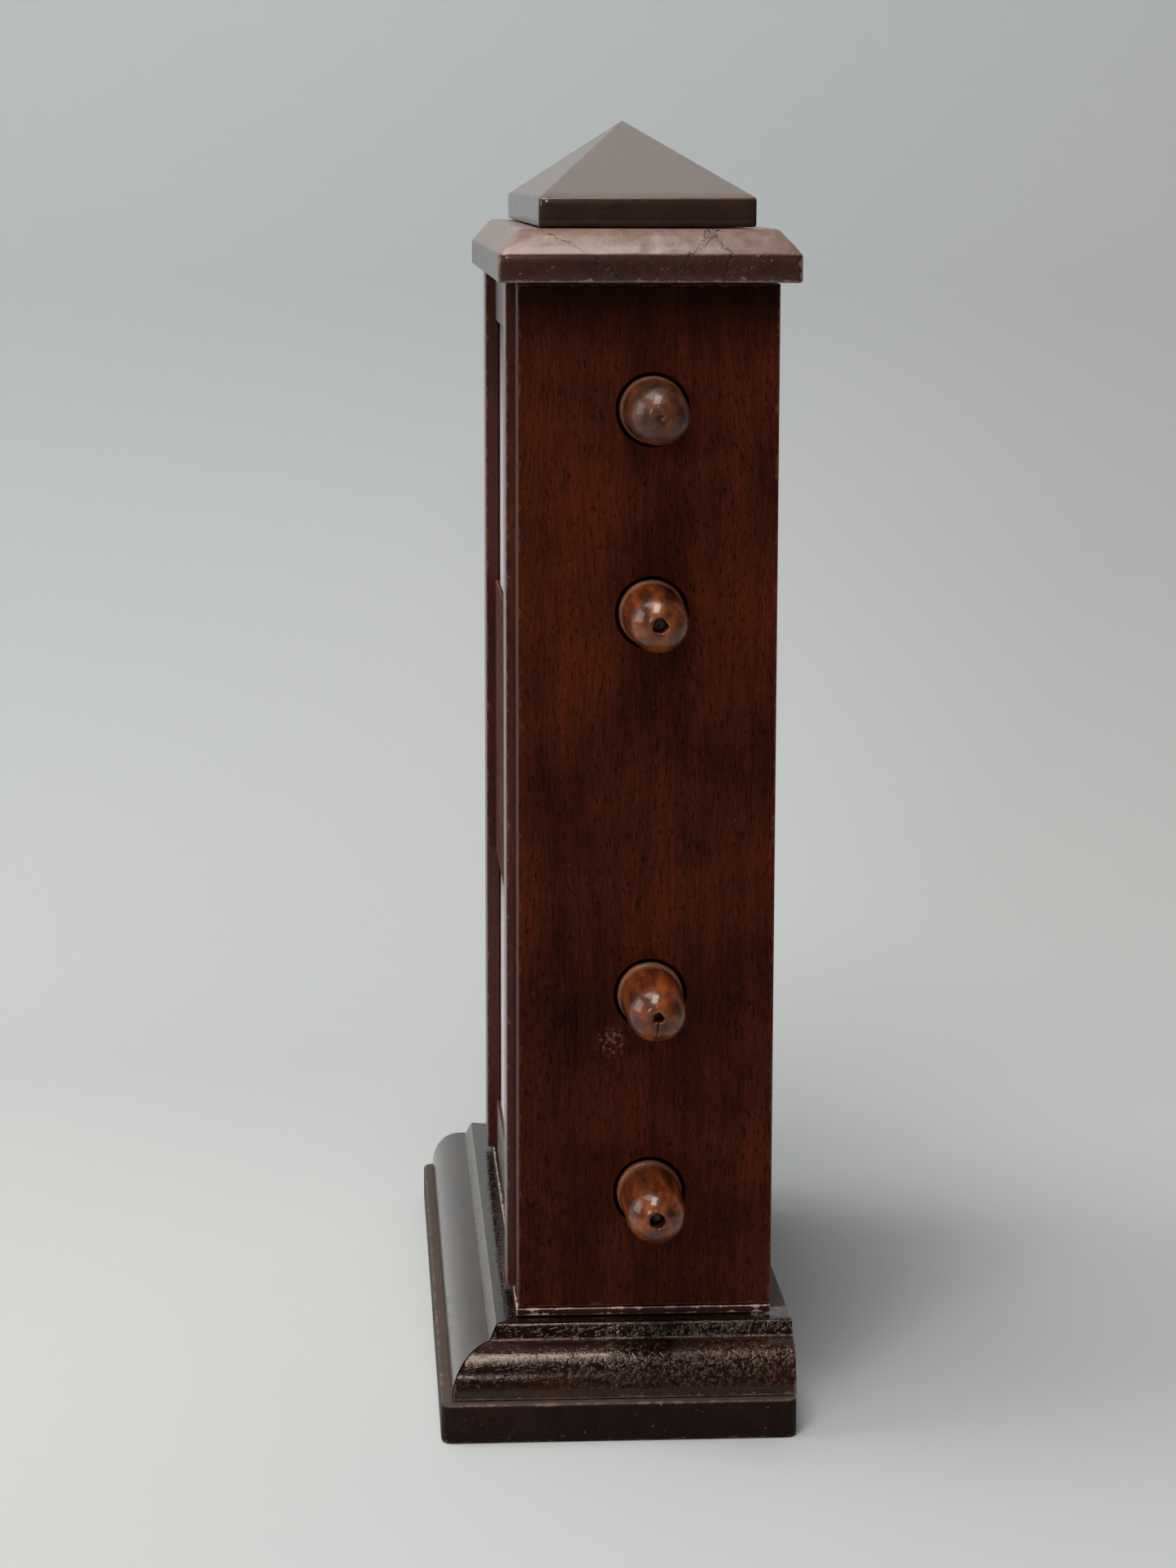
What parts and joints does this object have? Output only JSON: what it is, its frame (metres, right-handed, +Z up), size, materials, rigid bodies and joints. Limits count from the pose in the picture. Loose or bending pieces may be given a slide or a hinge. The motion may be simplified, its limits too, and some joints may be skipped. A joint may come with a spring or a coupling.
{
  "type": "roller scroll case",
  "caption": "Small upright wooden scroll case on a moulded base, with a low pyramid top and turned side knobs that wind bands behind glazed front windows.",
  "frame": {"origin": "centre of the flat underside of the plinth board", "axes": "+Z up, the glazed front faces -Y, the flat back faces +Y, the knobs stand out of the +X side"},
  "size_m": [0.2118, 0.0796, 0.2914],
  "materials": {
    "case_wood": "very dark red-brown polished hardwood, fine vertical grain, worn edges",
    "frame_wood": "dark red-brown polished hardwood, glossy at a low angle",
    "base_wood": "dark brown hardwood under crazed glossy varnish",
    "cornice_wood": "brown hardwood with a dusty, worn upper edge",
    "cap_wood": "brown hardwood with a dull, hazy bloom",
    "inner_wood": "plain unpolished wood",
    "knob_wood": "glossy orange-brown turned hardwood",
    "dark_knob_wood": "satin darker brown turned hardwood",
    "roller_wood": "plain turned wood",
    "band": "aged blank linen-backed paper, matt",
    "glass": "thin clear window glass",
    "brass": "aged brass, slotted heads",
    "steel": "dull iron rod"
  },
  "bodies": {
    "case": {"plinth_board": "base_wood", "base_core": "inner_wood", "base_moulding_front": "base_wood", "base_moulding_right": "base_wood", "base_moulding_left": "base_wood", "base_screw_1": "brass", "base_screw_2": "brass", "base_screw_3": "brass", "base_screw_4": "brass", "case_floor": "case_wood", "side_panel_right": "case_wood", "side_panel_left": "case_wood", "back_panel": "case_wood", "back_screw_1": "brass", "back_screw_2": "brass", "back_screw_3": "brass", "back_screw_4": "brass", "back_screw_5": "brass", "back_screw_6": "brass", "front_stile_right": "frame_wood", "front_stile_left": "frame_wood", "front_rail_top": "frame_wood", "front_rail_middle": "frame_wood", "front_rail_bottom": "frame_wood", "window_pane_upper": "glass", "window_pane_lower": "glass", "glazing_bead_upper_left": "inner_wood", "glazing_bead_upper_right": "inner_wood", "glazing_bead_upper_bottom": "inner_wood", "glazing_bead_upper_top": "inner_wood", "glazing_bead_lower_left": "inner_wood", "glazing_bead_lower_right": "inner_wood", "glazing_bead_lower_bottom": "inner_wood", "glazing_bead_lower_top": "inner_wood", "cornice_board": "cornice_wood", "cap_block": "cap_wood", "upper_band": "band", "lower_band": "band"},
    "upper_feed": {"upper_feed_roller": "roller_wood", "upper_feed_axle": "steel", "upper_feed_knob": "dark_knob_wood", "upper_feed_wound_roll": "band"},
    "upper_takeup": {"upper_takeup_roller": "roller_wood", "upper_takeup_axle": "steel", "upper_takeup_knob": "knob_wood", "upper_takeup_wound_roll": "band"},
    "lower_feed": {"lower_feed_roller": "roller_wood", "lower_feed_axle": "steel", "lower_feed_knob": "knob_wood", "lower_feed_wound_roll": "band"},
    "lower_takeup": {"lower_takeup_roller": "roller_wood", "lower_takeup_axle": "steel", "lower_takeup_knob": "knob_wood", "lower_takeup_wound_roll": "band"}
  },
  "joints": [
    {"name": "upper_feed_turn", "type": "hinge", "parent": "case", "child": "upper_feed", "pos_m": [0.085, 0.0077, 0.2283], "axis": [1, 0, 0], "range_deg": [-1530, 1530]},
    {"name": "upper_takeup_turn", "type": "hinge", "parent": "case", "child": "upper_takeup", "pos_m": [0.085, 0.0077, 0.1837], "axis": [1, 0, 0], "range_deg": [-1530, 1530]},
    {"name": "lower_feed_turn", "type": "hinge", "parent": "case", "child": "lower_feed", "pos_m": [0.085, 0.0077, 0.0979], "axis": [1, 0, 0], "range_deg": [-1530, 1530]},
    {"name": "lower_takeup_turn", "type": "hinge", "parent": "case", "child": "lower_takeup", "pos_m": [0.085, 0.0077, 0.0523], "axis": [1, 0, 0], "range_deg": [-1530, 1530]}
  ],
  "couplings": [
    {"joint": "upper_takeup_turn", "follows": "upper_feed_turn", "ratio": 1},
    {"joint": "lower_takeup_turn", "follows": "lower_feed_turn", "ratio": 1}
  ]
}
